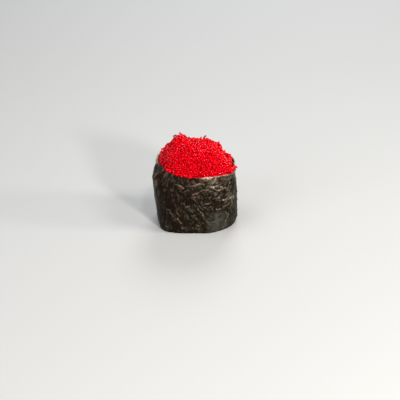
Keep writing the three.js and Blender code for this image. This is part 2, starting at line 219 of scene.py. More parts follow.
class BandSettings(bpy.types.PropertyGroup):
    """The strip of nori."""

    half_length: FloatProperty(
        name="Half length", description="Half of the oval's length", default=0.0201, unit="LENGTH"
    )
    half_width: FloatProperty(
        name="Half width", description="Half of the oval's width", default=0.0168, unit="LENGTH"
    )
    height: FloatProperty(
        name="Height", description="Width of the strip, which stands upright", default=0.0315, unit="LENGTH"
    )
    thickness: FloatProperty(
        name="Thickness", description="Thickness of the damp sheet", default=0.00035, unit="LENGTH"
    )
    relief: FloatProperty(
        name="Relief", description="Depth of the crinkles, as a share of the usual", default=1.0
    )
    columns: IntProperty(name="Columns", description="Faces along the strip", default=500)
    rows: IntProperty(name="Rows", description="Faces up the strip", default=92)
    dark: FloatVectorProperty(
        name="Dark", description="Where the sheet is thick", subtype="COLOR", default=(0.004, 0.0022, 0.0014)
    )
    light: FloatVectorProperty(
        name="Light", description="Where the sheet is thin", subtype="COLOR", default=(0.027, 0.0195, 0.0138)
    )
    # Crest and Glint are painted highlights on the ridges of the creases and on the strongest creases.
    crest: FloatVectorProperty(
        name="Crest", description="The ridges of the creases", subtype="COLOR", default=(0.065, 0.053, 0.031)
    )
    glint: FloatVectorProperty(
        name="Glint", description="The strongest creases", subtype="COLOR", default=(0.17, 0.145, 0.10)
    )
    brown: FloatVectorProperty(
        name="Brown", description="Tint of reddish patches", subtype="COLOR", max=2, default=(1.4, 0.92, 0.88)
    )
    green: FloatVectorProperty(
        name="Green", description="Tint of olive patches", subtype="COLOR", max=2, default=(0.84, 1.07, 0.7)
    )
    # The smooth patch: its own greyer tone, with a painted sheen over it.
    grey: FloatVectorProperty(
        name="Grey", description="The front's smooth patch", subtype="COLOR", default=(0.038, 0.0375, 0.0305)
    )
    # Edge is a painted highlight along the sheet's upper edge.
    edge: FloatVectorProperty(
        name="Edge", description="The pale wet upper edge", subtype="COLOR", default=(0.42, 0.33, 0.25)
    )


class RoeSettings(bpy.types.PropertyGroup):
    """The heap of roe."""

    egg: FloatProperty(name="Egg", description="Diameter of an egg", default=0.00105, unit="LENGTH")
    dome: FloatProperty(
        name="Dome", description="Height of the heap above the band", default=0.0122, unit="LENGTH"
    )
    clearance: FloatProperty(
        name="Clearance", description="From the band's wall to the heap", default=0.0011, unit="LENGTH"
    )
    loose: IntProperty(
        name="Loose eggs", description="Eggs laid in the hollows of the packed layers", default=1500
    )
    proud: IntProperty(name="Proud eggs", description="Eggs that sit on top of the others", default=170)
    red: FloatVectorProperty(
        name="Red", description="Most of the eggs", subtype="COLOR", default=(0.60, 0.0004, 0.0042)
    )
    deep: FloatVectorProperty(
        name="Deep red", description="The darkest eggs", subtype="COLOR", default=(0.32, 0.0002, 0.0017)
    )
    bright: FloatVectorProperty(
        name="Bright red", description="The palest eggs", subtype="COLOR", default=(0.76, 0.003, 0.014)
    )
    shaded: FloatVectorProperty(
        name="Shaded red", description="Eggs along the crest", subtype="COLOR", default=(0.10, 0.0001, 0.001)
    )
    bead: FloatProperty(
        name="Bead", description="Thickness of the juice along the rim", default=0.0006, unit="LENGTH"
    )
    juice: FloatVectorProperty(
        name="Juice", description="The juice along the rim", subtype="COLOR", default=(0.62, 0.36, 0.29)
    )
    stain: FloatVectorProperty(
        name="Stain", description="Juice that the roe has dyed", subtype="COLOR", default=(0.45, 0.04, 0.04)
    )


class RiceSettings(bpy.types.PropertyGroup):
    """The pressed rice."""

    top: FloatProperty(
        name="Top", description="Height of the rice", default=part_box("rice_bed")[1][2], unit="LENGTH"
    )
    grain: FloatProperty(name="Grain", description="Length of a grain", default=0.0064, unit="LENGTH")
    girth: FloatProperty(name="Girth", description="Thickness of a grain", default=0.0028, unit="LENGTH")
    grains: IntProperty(name="Grains", description="Grains on the underside", default=190)
    white: FloatVectorProperty(
        name="White", description="Colour of the rice", subtype="COLOR", default=(0.80, 0.77, 0.68)
    )
    pale: FloatVectorProperty(
        name="Pale", description="The palest of the rice", subtype="COLOR", default=(0.90, 0.88, 0.82)
    )


class StageSettings(bpy.types.PropertyGroup):
    """Camera, light and floor."""

    elevation: FloatProperty(
        name="Elevation", description="How high the camera stands", default=math.radians(27), subtype="ANGLE"
    )
    distance: FloatProperty(
        name="Distance", description="From the sushi to the camera", default=0.68, unit="LENGTH"
    )
    lens: FloatProperty(name="Lens", description="Focal length of the camera", default=119.2, unit="CAMERA")
    aim_right: FloatProperty(
        name="Aim right", description="Right of the origin in the picture", default=0.0021, unit="LENGTH"
    )
    aim_up: FloatProperty(
        name="Aim up", description="Above the origin in the picture", default=0.00966, unit="LENGTH"
    )
    floor: FloatVectorProperty(
        name="Floor", description="Colour of the floor", subtype="COLOR", default=(0.335, 0.335, 0.333)
    )
    clouds: FloatVectorProperty(
        name="Clouds", description="The floor's soft clouds", subtype="COLOR", default=(0.32, 0.32, 0.318)
    )
    glow: FloatVectorProperty(
        name="Glow", description="Light of the far floor", subtype="COLOR", default=(0.100, 0.106, 0.114)
    )
    sky: FloatVectorProperty(
        name="Sky", description="Colour of the light all round", subtype="COLOR", default=(0.93, 0.96, 1.0)
    )
    sky_power: FloatProperty(name="Sky power", description="Strength of the light all round", default=0.18)


# Shape of the band and the heap.


def bell(value):
    return np.exp(-np.square(value))


def smooth(value, low, high):
    """Goes from 0 at one value to 1 at another."""
    share = np.clip((value - low) / (high - low), 0, 1)
    return share * share * (3 - 2 * share)


def round_about(degrees, spread, angle):
    """1 at one angle round the band, fading out to both sides."""
    away = (angle - math.radians(degrees) + math.pi) % TURN - math.pi
    return bell(away / math.radians(spread))


def all_round(angle, amounts):
    """The sum of amounts that are each given with their angle in degrees and spread."""
    return sum(amount * round_about(degrees, spread, angle) for degrees, spread, amount in amounts)


def zone(angle, z, degrees, spread, comes=None, goes=None):
    """1 about one angle of the band, above the heights over which it comes and below those where it goes."""
    share = round_about(degrees, spread, angle)
    if comes:
        share = share * smooth(z, *comes)
    if goes:
        share = share * (1 - smooth(z, *goes))
    return share


def smooth_patch(angle, z):
    """The patch low on the front where the sheet has few creases."""
    return zone(angle, z, 304, 13, goes=(9, 13))


def band_height():
    """The strip's width, without what its setting loses by being kept in single precision."""
    return round(bpy.context.scene.gunkan_band.height / MM, 3)


def oval_radius(angle):
    """The band's plan, squarer at the left end than at the right."""
    band = bpy.context.scene.gunkan_band
    power = RIGHT_POWER + (LEFT_POWER - RIGHT_POWER) * smooth(-np.cos(angle), -0.3, 0.8)
    across = np.abs(np.cos(angle) / (band.half_length / MM)) ** power
    along = np.abs(np.sin(angle) / (band.half_width / MM)) ** power
    return (across + along) ** (-1 / power)


def rim_height(angle):
    return band_height() + 0.2 * np.sin(2 * angle + 0.8) + all_round(angle, RIM_RISES)


def fold_height(angle):
    """Where the sheet turns in over the roe at the left end."""
    return 25.5 + 2.7 * smooth(angle % TURN, math.radians(180), math.radians(214))


def wall_radius(angle, z):
    """Outer face of the strip's inner layer, with the broad pleats only."""
    share = z / band_height()
    pleats = 0.2 * np.sin(9 * angle + 1.7 * np.sin(z / 5.2) + 0.6) * (0.35 + 0.65 * share)
    level = 0.17 * np.sin(z / 1.1 + 2.1 * np.sin(3 * angle + 0.5))
    level = level * round_about(312, 38, angle) * smooth(share, 0.35, 0.7)
    slant = 0.15 * np.sin(5 * angle - z / 3.1 + 1.1)
    flare = 1.3 * zone(angle, z, 205, 28, comes=(8, 26))
    fold, top = fold_height(angle), band_height() + 0.8
    over = np.maximum(0, (z - fold) / (top - fold))
    pinch = 6.1 * over * over / (over + 0.14) * round_about(203, 33, angle)
    tuck = 1.9 * zone(angle, z, 322, 25, goes=(0, 14))
    foot = 0.7 * bell(z / 1.8)
    return oval_radius(angle) + pleats + level + slant + flare - pinch - tuck - foot


def polar(angle, radius, z):
    """Points from their angle and radius about the leaning axis, as an array of x, y and z."""
    x = HEAP_ORIGIN[0] + AXIS_AT_FLOOR + AXIS_LEAN * z + radius * np.cos(angle)
    return np.stack(np.broadcast_arrays(x, HEAP_ORIGIN[1] + radius * np.sin(angle), z), axis=-1)


def heap_radius(angle, z):
    """The heap's side, which keeps clear of the band and more so at the left."""
    clearance = bpy.context.scene.gunkan_roe.clearance / MM
    return wall_radius(angle, z) - clearance - 0.4 * zone(angle, z, 180, 40, comes=(26.5, 31.5))


def heap_point(from_top, angle):
    """A point of the heap's top, from its angle down from the top and round."""
    rim = rim_height(angle) - EDGE_DROP
    share = np.sin(from_top) ** (2 / DOME_POWER)
    slope = DOME_SLOPE + (STEEP_SLOPE - DOME_SLOPE) * round_about(188, 45, angle)
    point = polar(angle, share * heap_radius(angle, rim), rim)
    x, y = point[..., 0] - HEAP_ORIGIN[0], point[..., 1] - HEAP_ORIGIN[1]
    lumps = sum(
        height * bell(((x - at_x) / reach_x) ** 2) * bell((y - at_y) / reach_y)
        for at_x, at_y, height, reach_x, reach_y in LUMPS
    )
    dome = band_height() + bpy.context.scene.gunkan_roe.dome / MM - rim
    point[..., 2] += dome * np.clip(np.cos(from_top), 0, 1) ** (2 * slope) + (1 - share**8) * lumps
    return point


def heap_normal(from_top, angle):
    """The way out of the heap, from its slopes down and round."""
    step = 0.03
    lower, upper = np.minimum(from_top + step, NEAR_EDGE), np.maximum(from_top - step, NEAR_TOP)
    down = heap_point(lower, angle) - heap_point(upper, angle)
    around = heap_point(from_top, angle + step) - heap_point(from_top, angle - step)
    normal = np.cross(down, around)
    return normal / np.linalg.norm(normal, axis=-1, keepdims=True)


# Meshes.


def points_of(mesh):
    flat = np.empty(len(mesh.vertices) * 3)
    mesh.vertices.foreach_get("co", flat)
    return flat.reshape(-1, 3)


def placed(name, data):
    """A new object in the scene."""
    made = bpy.data.objects.new(name, data)
    bpy.context.scene.collection.objects.link(made)
    return made


def finished(name, mesh, material, node, points):
    """The piece's object: its points in place, smooth, with its material, riding on the part."""
    mesh.vertices.foreach_set("co", (points * MM).ravel())
    mesh.shade_smooth()
    mesh.materials.append(material)
    mesh.update()
    piece = placed(name, mesh)
    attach(piece, "root")
    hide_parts(node)
    return piece


def mesh_from(name, create, **sizes):
    """A new mesh from one of bmesh's own shapes."""
    bm = bmesh.new()
    create(bm, **sizes)
    mesh = bpy.data.meshes.new(name)
    bm.to_mesh(mesh)
    bm.free()
    return mesh


def marked(mesh, name, values):
    """Keeps a number for each point of the mesh, which its material reads."""
    mesh.attributes.new(name, "FLOAT", "POINT").data.foreach_set("value", values)


def copies(name, one, places, turns, sizes):
    """One mesh that holds a copy of a small one at each place, turned and sized, made from arrays."""
    corners = points_of(one)
    faces = [list(face.vertices) for face in one.polygons]
    bpy.data.meshes.remove(one)
    spun = np.einsum("nij,nvj->nvi", turns, corners[None] * sizes[:, None, :]) + places[:, None, :]
    points = spun.reshape(-1, 3)
    firsts = range(0, len(points), len(corners))
    mesh = bpy.data.meshes.new(name)
    mesh.from_pydata(points, [], [[first + corner for corner in face] for first in firsts for face in faces])
    return mesh, points


def turned(angles):
    return np.array([np.array(Euler(three).to_matrix()) for three in angles])


# Materials.


class Number:
    """A number that varies over a surface. Python's operators on it add Math nodes."""

    def __init__(self, surface, socket):
        self.surface, self.socket = surface, socket

    def maths(self, operation, *values, clamp=False):
        return self.surface.node("Math", {"operation": operation, "use_clamp": clamp}, *values).number()

    def __add__(self, other):
        return self.maths("ADD", self, other)

    def __sub__(self, other):
        return self.maths("SUBTRACT", self, other)

    def __rsub__(self, other):
        return self.maths("SUBTRACT", other, self)

    def __mul__(self, other):
        return self.maths("MULTIPLY", self, other)

    __radd__, __rmul__ = __add__, __mul__

    def clipped(self):
        """The number, kept between 0 and 1."""
        return self.maths("ADD", self, 0.0, clamp=True)


class Made:
    """A node that has been added, for its outputs."""

    def __init__(self, surface, node):
        self.surface, self.node = surface, node

    def number(self, output=0):
        return Number(self.surface, self.node.outputs[output])

    def out(self, output=0):
        return self.node.outputs[output]


class Surface:
    """A material and its nodes."""

    def __init__(self, name):
        self.material = bpy.data.materials.new(name)
        self.material.use_nodes = True
        self.tree = self.material.node_tree
        self.shader = self.tree.nodes["Principled BSDF"]
        self.place = self.node("TexCoord").out("Object")

    def node(self, kind, settings=None, *values, **sockets):
        """Adds a node: its settings first, then the values or links of its inputs in order or by name."""
        node = self.tree.nodes.new("ShaderNode" + kind)
        for key, value in (settings or {}).items():
            setattr(node, key, value)
        for slot, value in enumerate(values):
            self.set(node.inputs[slot], value)
        self.fill(node, sockets)
        return Made(self, node)

    def set(self, slot, value):
        if isinstance(value, Number):
            value = value.socket
        if isinstance(value, bpy.types.NodeSocket):
            self.tree.links.new(value, slot)
        else:
            slot.default_value = value

    def fill(self, node, sockets):
        """Sets a node's inputs by their names, which have a space for each _ here."""
        for name, value in sockets.items():
            self.set(node.inputs[name.replace("_", " ")], value)

    def finish(self, **sockets):
        """Sets the shader's own inputs."""
        self.fill(self.shader, sockets)
        return self.material

    def mark(self, name):
        """A number that the mesh keeps for each of its points."""
        return self.node("Attribute", {"attribute_name": name}).number("Fac")

    def speckle(self, size, detail=2.0, stretch=(1, 1, 1), roughness=0.5):
        """Soft noise with features of about a size in metres."""
        vector = self.node("Mapping", None, Vector=self.place, Scale=stretch).out()
        noisy = self.node("TexNoise", None, Vector=vector, Scale=1 / size, Detail=detail, Roughness=roughness)
        return noisy.number()

    def blend(self, share, low, high, way="MIX"):
        """A colour between two or, where the way is MULTIPLY, one that the other tints."""
        mix = self.node("Mix", {"data_type": "RGBA", "blend_type": way}, Factor=share)
        for slot, value in ((MIX_FIRST, low), (MIX_SECOND, high)):
            self.set(mix.node.inputs[slot], value if isinstance(value, bpy.types.NodeSocket) else (*value, 1))
        return mix.out(MIX_COLOUR)

    def bump(self, height, distance, strength=1.0):
        return self.node("Bump", None, Strength=strength, Distance=distance, Height=height).out()


def nori_material(band):
    """Dark damp seaweed, paler where thin, in reddish and olive patches, with painted highlights and sheen."""
    surface = Surface("nori")
    crest, grey, edge = surface.mark("crest"), surface.mark("grey"), surface.mark("edge")
    mottle = surface.speckle(0.0060, 5, roughness=0.6)
    fibres = surface.speckle(0.0006, 5, (1, 1, 0.4), 0.6)
    specks = surface.speckle(0.0004, 2)
    wet = surface.speckle(0.004, 3)
    # Paler where the sheet is thin, and paler on the crests too, which is painted highlight.
    thin = ((mottle - 0.42) * 0.9 + (fibres - 0.5) * 3.0 + (crest - 0.5) * 0.7).clipped()
    ridges = ((crest - 0.60) * 3.0).clipped()
    strongest = ((crest - 0.85) * 1.6).clipped()
    # The reddish patches lie more to the upper left, and the olive ones to the lower right.
    at = surface.node("SeparateXYZ", None, surface.place)
    rise = (at.number("Z") - at.number("X") * 0.6 - 0.019) * 5.0
    brown = ((surface.speckle(0.0030, 3) - 0.51 + rise) * 6.0).clipped()
    green = ((surface.speckle(0.0036, 3, (1, 1, 0.6)) - 0.50 - rise) * 6.0).clipped()
    colour = surface.blend(thin, band.dark, band.light)
    # Painted highlights on the ridges and, brighter, on the strongest creases.
    colour = surface.blend(ridges * 0.7, colour, band.crest)
    colour = surface.blend(strongest * 0.8, colour, band.glint)
    colour = surface.blend(brown * 0.8, colour, band.brown, "MULTIPLY")
    colour = surface.blend(green * 0.8, colour, band.green, "MULTIPLY")
    # The smooth patch, greyer of its own and with a painted sheen.
    colour = surface.blend(grey * 0.75, colour, band.grey)
    # A painted highlight along the upper edge.
    colour = surface.blend(edge, colour, band.edge)
    return surface.finish(
        Base_Color=colour,
        Roughness=(0.38 - (crest - 0.5) * 0.35 + (wet - 0.5) * 0.35 + (specks - 0.5) * 0.2).clipped(),
        Normal=surface.bump(fibres * 0.6 + specks * 0.4, 0.00028),
        Specular_IOR_Level=0.06,
        Specular_Tint=(1.0, 0.78, 0.55, 1.0),
        Coat_Weight=((crest - 0.50) * 2.2 + (wet - 0.53) * 1.5 + grey * 0.5).clipped() * 0.9,
        Coat_Roughness=0.25,
        Coat_IOR=1.40,
    )


# What the eggs and the core under them share: red reflections, and red light that comes through.
FLESH = {
    "Specular_Tint": (1.0, 0.15, 0.30, 1.0),
    "Subsurface_Weight": 0.35,
    "Subsurface_Radius": (1.0, 0.12, 0.08),
    "Subsurface_Scale": 0.0009,
}


def egg_material(name, roe):
    """Glossy eggs, each of its own tone, with a blush that goes over several, and painted shade on those of
    the crest.
    """
    surface = Surface(name)
    tone = surface.mark("shade")
    blush = surface.speckle(0.003, 2)
    fine = surface.speckle(0.0003, 1)
    colour = surface.blend(tone, roe.deep, roe.red)
    colour = surface.blend(((blush - 0.45) * 0.8).clipped(), colour, roe.bright)
    # Painted shade: the eggs along the crest are darkened.
    colour = surface.blend((tone * -1.4).clipped(), colour, roe.shaded)
    return surface.finish(
        Base_Color=colour,
        Roughness=(0.04 + fine * 0.12).clipped(),
        Normal=surface.bump(fine, 0.00002, 0.5),
        Specular_IOR_Level=0.50,
        **FLESH,
    )


def core_material(roe):
    surface = Surface("roe_core")
    cloud = surface.speckle(0.0012, 2)
    return surface.finish(
        Base_Color=surface.blend(cloud, roe.deep, roe.red),
        Roughness=(0.45 + cloud * 0.3).clipped(),
        Normal=surface.bump(cloud, 0.0002, 0.6),
        Specular_IOR_Level=0.15,
        **FLESH,
    )


def juice_material(roe):
    surface = Surface("juice")
    cloud = surface.speckle(0.0016, 2)
    return surface.finish(
        Base_Color=surface.blend(((cloud - 0.42) * 4.0).clipped(), roe.juice, roe.stain),
        Roughness=(0.08 + cloud * 0.15).clipped(),
        Normal=surface.bump(cloud, 0.00015, 0.8),
        Specular_IOR_Level=0.6,
        Subsurface_Weight=0.4,
        Subsurface_Radius=(1.0, 0.6, 0.5),
        Subsurface_Scale=0.0006,
    )


def rice_material(rice):
    surface = Surface("rice")
    cloud = surface.speckle(0.0022, 3)
    grit = surface.speckle(0.0004, 2)
    return surface.finish(
        Base_Color=surface.blend(cloud, rice.white, rice.pale),
        Roughness=(0.32 + (cloud - 0.5) * 0.3).clipped(),
        Normal=surface.bump(grit, 0.00006, 0.7),
        Coat_Weight=0.25,
        Coat_Roughness=0.25,
        Subsurface_Weight=0.3,
        Subsurface_Radius=(1.0, 0.8, 0.6),
        Subsurface_Scale=0.0015,
    )


# The nori band.


def swells(across, along, seed):
    """Smooth noise between about -1 and 1."""
    return np.array([noise.noise(Vector((a, b, seed))) for a, b in np.broadcast(across, along)])


def folds(across, up, heading, spacing, seed):
    """Sharp ridges and grooves that mostly run along a heading, meet and die out, from -1 to 1."""
    heading = math.radians(heading)
    over = (up * math.cos(heading) - across * math.sin(heading)) / spacing
    along = (across * math.cos(heading) + up * math.sin(heading)) / (FOLD_LENGTH * spacing)
    ridge = 1 - np.abs(swells(over, along, seed)) / FOLD_END
    groove = 1 - np.abs(swells(over, along, seed + GROOVE_SEED)) / FOLD_END
    return np.maximum(ridge, 0) - np.maximum(groove, 0)


def scored(angle, z):
    """The main creases, with a little waviness."""
    flat = (np.degrees(angle) % 360 - FRONT_DEGREES) * MM_PER_DEGREE
    across = flat + 0.5 * swells(flat / 1.7, z / 1.7, seed=31.0)
    up = z + 0.5 * swells(flat / 1.7, z / 1.7, seed=37.0)
    total = np.zeros_like(z)
    for middle, height, length, heading, strength in CREASES:
        run, rise = math.cos(math.radians(heading)), math.sin(math.radians(heading))
        aside, above = across - middle, up - height
        along = np.clip(aside * run + above * rise, -length / 2, length / 2)
        total += strength * bell(np.hypot(aside - along * run, above - along * rise) / CREASE_WIDTH)
    return total


def pillows(across, along, seed):
    """Rounded bumps with creases between them, as the rice pushes into the sheet."""
    near = (noise.voronoi(Vector((a, b, seed)))[0] for a, b in np.broadcast(across, along))
    return np.array([min(1.0, 1.8 * (two[1] - two[0])) for two in near])


def crinkles(along, z, angle):
    """How far the damp sheet's fine folds and bulges push it outwards, and the folds alone."""
    across = along + 1.3 * swells(along / 5, z / 5, seed=3.0)
    up = z + 1.3 * swells(along / 5, z / 5, seed=8.0)
    left, right = round_about(200, 38, angle), round_about(350, 32, angle)
    upper = zone(angle, z, 312, 44, comes=(8, 16))
    lower = round_about(278, 32, angle) * (1 - 0.7 * smooth(z, 14, 22))
    calm = (1 - 0.8 * smooth_patch(angle, z)) * (1 - 0.75 * left)
    rest = calm * (1 - 0.5 * np.maximum(np.maximum(upper, lower), right))
    patch = swells(across / 4, up / 4, seed=91.0)
    zones = {
        "upper": upper,
        "lower": lower * calm,
        "left": left * (0.6 + 1.3 * smooth(z, 25, 29)),
        "right": right * calm,
        "rest": rest * smooth(patch, -0.2, 0.2),
        "other rest": rest * smooth(-patch, -0.2, 0.2),
    }
    lines = sum(
        zones[where] * depth * folds(across, up, heading, spacing, seed)
        for where, depth, heading, spacing, seed in FOLDS
    )
    bulges = 0.20 * calm * pillows(across / 3.4, up / 2.7, seed=5.0)
    bulges *= smooth(z, 0, 3) * (1 - 0.55 * smooth(z, 19, 24))
    return lines + bulges - 0.04, lines


def lapped_crinkles(once, z, angle):
    """The crinkles, which the two layers of the lap share, so that they lie on each other."""
    lap = STRIP_SWEEP - TURN
    over = 1 - smooth(once, lap - LAP_FADE, lap)
    outer = crinkles((once + TURN) * MEAN_RADIUS, z, angle)
    inner = crinkles(once * MEAN_RADIUS, z, angle)
    return [over * first + (1 - over) * second for first, second in zip(outer, inner)]


def painted_light(once, z, angle):
    """How much painted light, paler and glossier, the sheet gets on top of its creases, and painted shade
    where negative.
    """
    streaks = swells(once * 22, z / 6, seed=57.0)
    # Painted light: streaks at the left end, and a highlight on the fold where the sheet turns in over the
    # roe.
    fold = zone(angle, z, 197, 14, comes=(22, 27)) * (1 - 0.65 * smooth(z, 27, 31))
    painted = (0.5 * streaks - 0.06) * round_about(205, 35, angle)
    painted += 0.45 * np.clip(0.6 + 1.2 * streaks, 0, 1) * fold
    for degrees, spread, amount, comes, goes in PAINTED_LIGHT_PLACES:
        painted += amount * zone(angle, z, degrees, spread, comes, goes)
    return painted


def edge_highlight(once, z, rim, angle):
    """How strong the highlight painted along the sheet's upper edge is."""
    pale = 0.12 + all_round(angle, EDGE_HIGHLIGHTS)
    pale *= np.clip(0.75 + 1.6 * swells(once * 26, 0, seed=17.0), 0.15, 1.4)
    depth = 0.5 + 0.4 * swells(once * 15, 0, seed=5.0) + 1.3 * round_about(155, 22, angle)
    return np.maximum(pale, 0) * smooth(z - rim, -depth, -0.5 * depth)


class GUNKAN_OT_nori(bpy.types.Operator):
    """Winds the strip of nori into the band"""

    bl_idname = "gunkan.nori"
    bl_label = "Nori band"

    def execute(self, context):
        band = context.scene.gunkan_band
        mesh = mesh_from(
            "nori_band", bmesh.ops.create_grid, x_segments=band.columns, y_segments=band.rows, size=0.5
        )
        across, up = (points_of(mesh)[:, :2] + 0.5).T
        wound = across * STRIP_SWEEP
        angle, once = FREE_END - STRIP_SWEEP + wound, wound % TURN
        ragged = 0.18 * swells(once * 15, 0, seed=9.0) + 0.25 * swells(once * 4, 0, seed=2.0)
        rim = rim_height(angle) + ragged
        z = STRIP_FOOT + up * (rim - STRIP_FOOT)

        relief, lines = lapped_crinkles(once, z, angle)
        creases = scored(angle, z)
        relief = (relief + CREASE_DEPTH * creases) * band.relief * smooth(z, 0, 1.5)
        end = smooth(wound, STRIP_SWEEP - 0.2, STRIP_SWEEP) * (1 - smooth(z, 20, 29))
        lift = smooth(wound, TURN - LAP_RAMP, TURN - 0.1) * (LAP_LIFT - 0.10 * end)
        curl = 0.22 * swells(once * 6, 0, seed=71.0) * smooth(z, 27, 31.5)
        points = polar(angle, wall_radius(angle, z) + lift + relief + curl, z)

        # The crest mark: the folds and creases with the painted light and shade added; the material paints
        # highlights and gloss from it.
        marked(mesh, "crest", np.clip(0.5 + lines + 0.45 * creases + painted_light(once, z, angle), 0, 1.5))
        # The smooth patch, for its greyer tone and its painted sheen.
        dull = np.clip(0.75 + swells(once * 9, z / 2, seed=23.0), 0, 1)
        marked(mesh, "grey", smooth_patch(angle, z) * dull)
        marked(mesh, "edge", edge_highlight(once, z, rim, angle))
        piece = finished("nori_band", mesh, nori_material(band), "nori_wrap", points)
        wall = piece.modifiers.new("Thickness", "SOLIDIFY")
        wall.thickness = band.thickness
        wall.offset = -1
        return {"FINISHED"}


# The roe.


class EggBed:
    """Egg centres in a grid of cells an egg wide, so that near ones are found quickly."""

    def __init__(self, egg):
        self.egg, self.cells, self.eggs = egg, {}, []

    def key(self, point):
        return tuple(int(math.floor(value / self.egg)) for value in point)

    def near(self, point):
        """The eggs in the point's cell and those round it."""
        at = self.key(point)
        for dx in (-1, 0, 1):
            for dy in (-1, 0, 1):
                for dz in (-1, 0, 1):
                    yield from self.cells.get((at[0] + dx, at[1] + dy, at[2] + dz), ())

    def add(self, point):
        self.eggs.append(point)
        self.cells.setdefault(self.key(point), []).append(point)

    def free(self, point):
        """Whether an egg has room there."""
        spacing = PACKED * self.egg
        return all((point - other).length_squared > spacing * spacing for other in self.near(point))

    def touching(self, point):
        reach = TOUCHING * self.egg
        return any((point - other).length_squared < reach * reach for other in self.near(point))

    def rest(self, point, out, share, steps=4):
        """How far out from a point an egg comes to rest on those already there, if there are any."""
        spacing, heights = share * self.egg, []
        for step in range(steps):
            for other in self.near(point + out * (step * self.egg)):
                gap = other - point
                height = gap.dot(out)
                aside = (gap - out * height).length_squared
                if aside < spacing * spacing:
                    heights.append(height + math.sqrt(spacing * spacing - aside))
        return max(heights, default=None)


def heap_spots(rng, count):
    """Random places on the heap: the point, the way out, how high above the rim, and the least for an egg."""
    from_top, angle = np.arccos(rng.uniform(0.0, 0.999, count)), rng.uniform(0, TURN, count)
    points, normals = heap_point(from_top, angle), heap_normal(from_top, angle)
    above = points[:, 2] - rim_height(angle)
    clumps = 0.5 * swells(points[:, 0] / 2.1, points[:, 1] / 2.1 + points[:, 2] / 2.5, seed=13.0)
    points += normals * clumps[:, None]
    bare = 0.9 * round_about(300, 30, angle)
    return list(zip(map(Vector, points), map(Vector, normals), above, bare))


def pack_layers(bed, rng):
    """Layers of eggs side by side under the heap's top."""
    for depth, tries in LAYERS:
        for point, out, above, bare in heap_spots(rng, tries):
            centre = point - out * (depth + rng.uniform(0, LAYER_DEPTH))
            if above > -0.2 - 0.4 * bare and bed.free(centre):
                bed.add(centre)


def fill_hollows(bed, rng, count):
    """Loose eggs, each in the lowest of a few hollows."""
    for _ in range(count):
        best = None
        for point, out, above, bare in heap_spots(rng, HOLLOWS_COMPARED):
            seat = point - out * SEAT
            height = bed.rest(seat, out, NESTLED)
            if above > bare and height is not None and (best is None or height < best[0]):
                best = (height, seat + out * height)
        if best and best[0] < HOLLOW_LIMIT:
            bed.add(best[1])


def perch_eggs(bed, rng, count):
    """Odd eggs that sit on top of the others."""
    for point, out, above, _ in heap_spots(rng, count):
        height = bed.rest(point - out * SEAT, out, PERCHED)
        if height is not None and height < PERCH_LIMIT and above > 1:
            bed.add(point + out * (height - SEAT))


def stand_crest(bed, rng):
    """The eggs of the crest, which come to rest from straight below."""
    for x, y in CREST_EGGS:
        x += HEAP_ORIGIN[0] + rng.uniform(-CREST_STRAY, CREST_STRAY)
        y += HEAP_ORIGIN[1] + rng.uniform(-CREST_STRAY, CREST_STRAY)
        seat, up = Vector((x, y, CREST_SEAT)), Vector((0, 0, 1))
        height = bed.rest(seat, up, STANDING, CREST_STEPS)
        if height:
            bed.add(seat + up * height)


def line_rim(bed, rng):
    """Eggs that lie against the band's edge, some of them further in and higher."""
    for start, end, inside, above, tries in RIM_EGGS:
        for _ in range(tries):
            angle, over = math.radians(rng.uniform(start, end)), rng.uniform(0, 1)
            rim = rim_height(angle)
            radius = wall_radius(angle, rim) - inside - 1.5 * over
            centre = Vector(polar(angle, radius, rim + above + 0.5 * over))
            if bed.free(centre):
                bed.add(centre)


def spill_eggs(bed, rng):
    """Eggs that have run out over the band, each of which touches another."""
    for start, end, reach, tries in SPILLS:
        for _ in range(tries):
            along, aside = rng.uniform(0, 1), rng.uniform(-reach, reach, 3)
            centre = Vector(start).lerp(Vector(end), along) + Vector(aside)
            if bed.free(centre) and bed.touching(centre):
                bed.add(centre)


def scatter_eggs(roe):
    """Centres of all the eggs, and which of them stand along the crest."""
    rng = np.random.default_rng(EGG_PLACE_SEED)
    bed = EggBed(roe.egg / MM)
    pack_layers(bed, rng)
    fill_hollows(bed, rng, roe.loose)
    perch_eggs(bed, rng, roe.proud)
    first = len(bed.eggs)
    stand_crest(bed, rng)
    crest = slice(first, len(bed.eggs))
    line_rim(bed, rng)
    spill_eggs(bed, rng)
    return np.array(bed.eggs), crest


